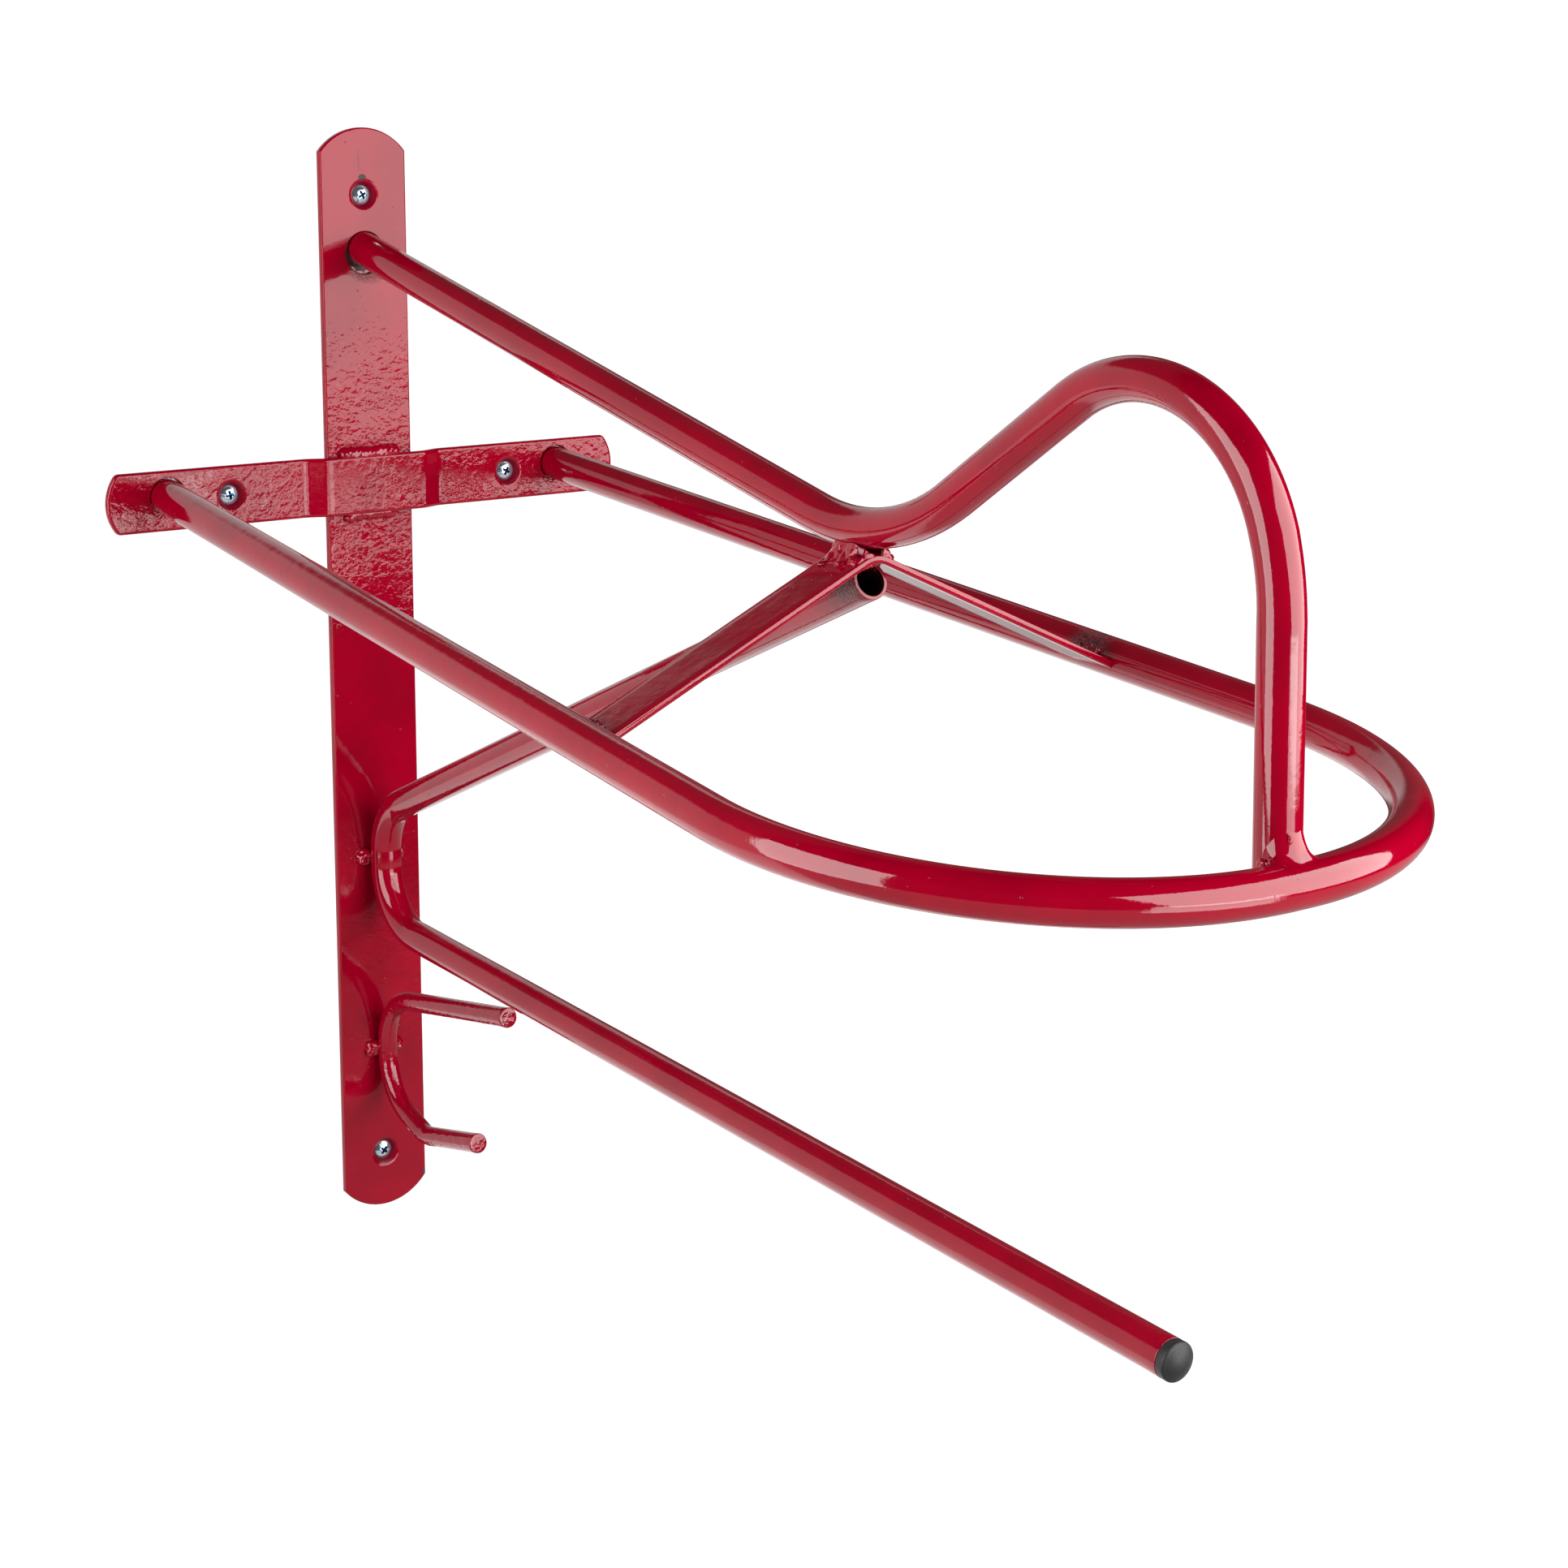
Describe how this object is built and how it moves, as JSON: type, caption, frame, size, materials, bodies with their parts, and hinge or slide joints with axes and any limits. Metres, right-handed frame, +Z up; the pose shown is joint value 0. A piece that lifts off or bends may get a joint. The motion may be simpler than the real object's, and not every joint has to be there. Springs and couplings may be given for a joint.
{
  "type": "wall saddle rack",
  "caption": "Welded steel saddle rack for a wall, with a hoop and arched ridge for the saddle, a blanket rail and a bridle hook.",
  "frame": {"origin": "on the wall, on the back plate's middle line, level with the middle of the cross bar", "axes": "+Y into the wall, so the rack reaches out along -Y; +Z up; +X to the right as seen from the room"},
  "size_m": [0.2798, 0.6596, 0.5328],
  "materials": {
    "paint": "gloss powder coat",
    "zinc": "zinc plated",
    "cap": "fine grain"
  },
  "bodies": {
    "root": {"back_plate": "paint", "cross_bar": "paint", "ridge_tube": "paint", "saddle_hoop": "paint", "brace_strap": "paint", "blanket_rail": "paint", "rail_end_cap": "cap", "bridle_hook": "paint", "wall_screws": "zinc", "bar_top_weld": "paint", "bar_bottom_weld": "paint", "ridge_end_weld": "paint", "hoop_left_weld": "paint", "hoop_right_weld": "paint", "ridge_strap_weld": "paint", "strap_left_weld": "paint", "strap_right_weld": "paint", "rail_strap_weld": "paint", "rail_plate_weld": "paint", "hook_plate_weld": "paint", "arch_foot_weld": "paint"}
  },
  "joints": []
}
